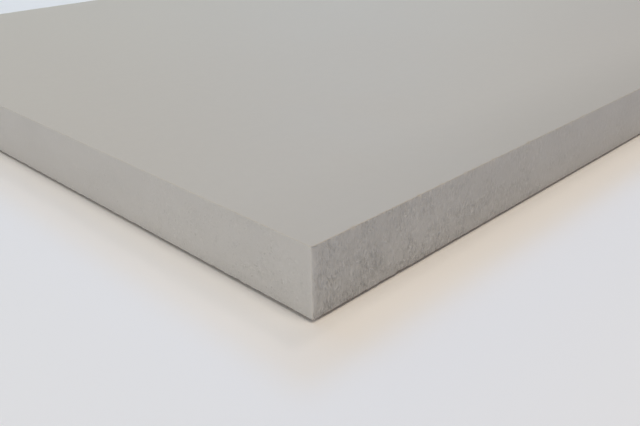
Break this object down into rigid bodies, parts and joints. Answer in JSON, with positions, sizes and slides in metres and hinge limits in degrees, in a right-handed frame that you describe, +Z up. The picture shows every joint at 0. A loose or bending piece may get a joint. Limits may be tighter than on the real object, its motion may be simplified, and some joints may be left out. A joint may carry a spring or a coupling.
{
  "type": "foam insulation board",
  "caption": "Flat rectangular board of light grey closed-cell foam with square-cut, lightly eased sides, laid flat or butted edge to edge as thermal insulation.",
  "frame": {"origin": "middle of the underside", "axes": "+X along the length, +Y across the width, +Z up through the thickness"},
  "size_m": [1, 0.5, 0.03],
  "materials": {
    "grey_foam": "matt closed-cell foam, smooth on the broad faces and finely pitted on the cut sides"
  },
  "bodies": {
    "root": {"foam_board": "grey_foam"}
  },
  "joints": []
}
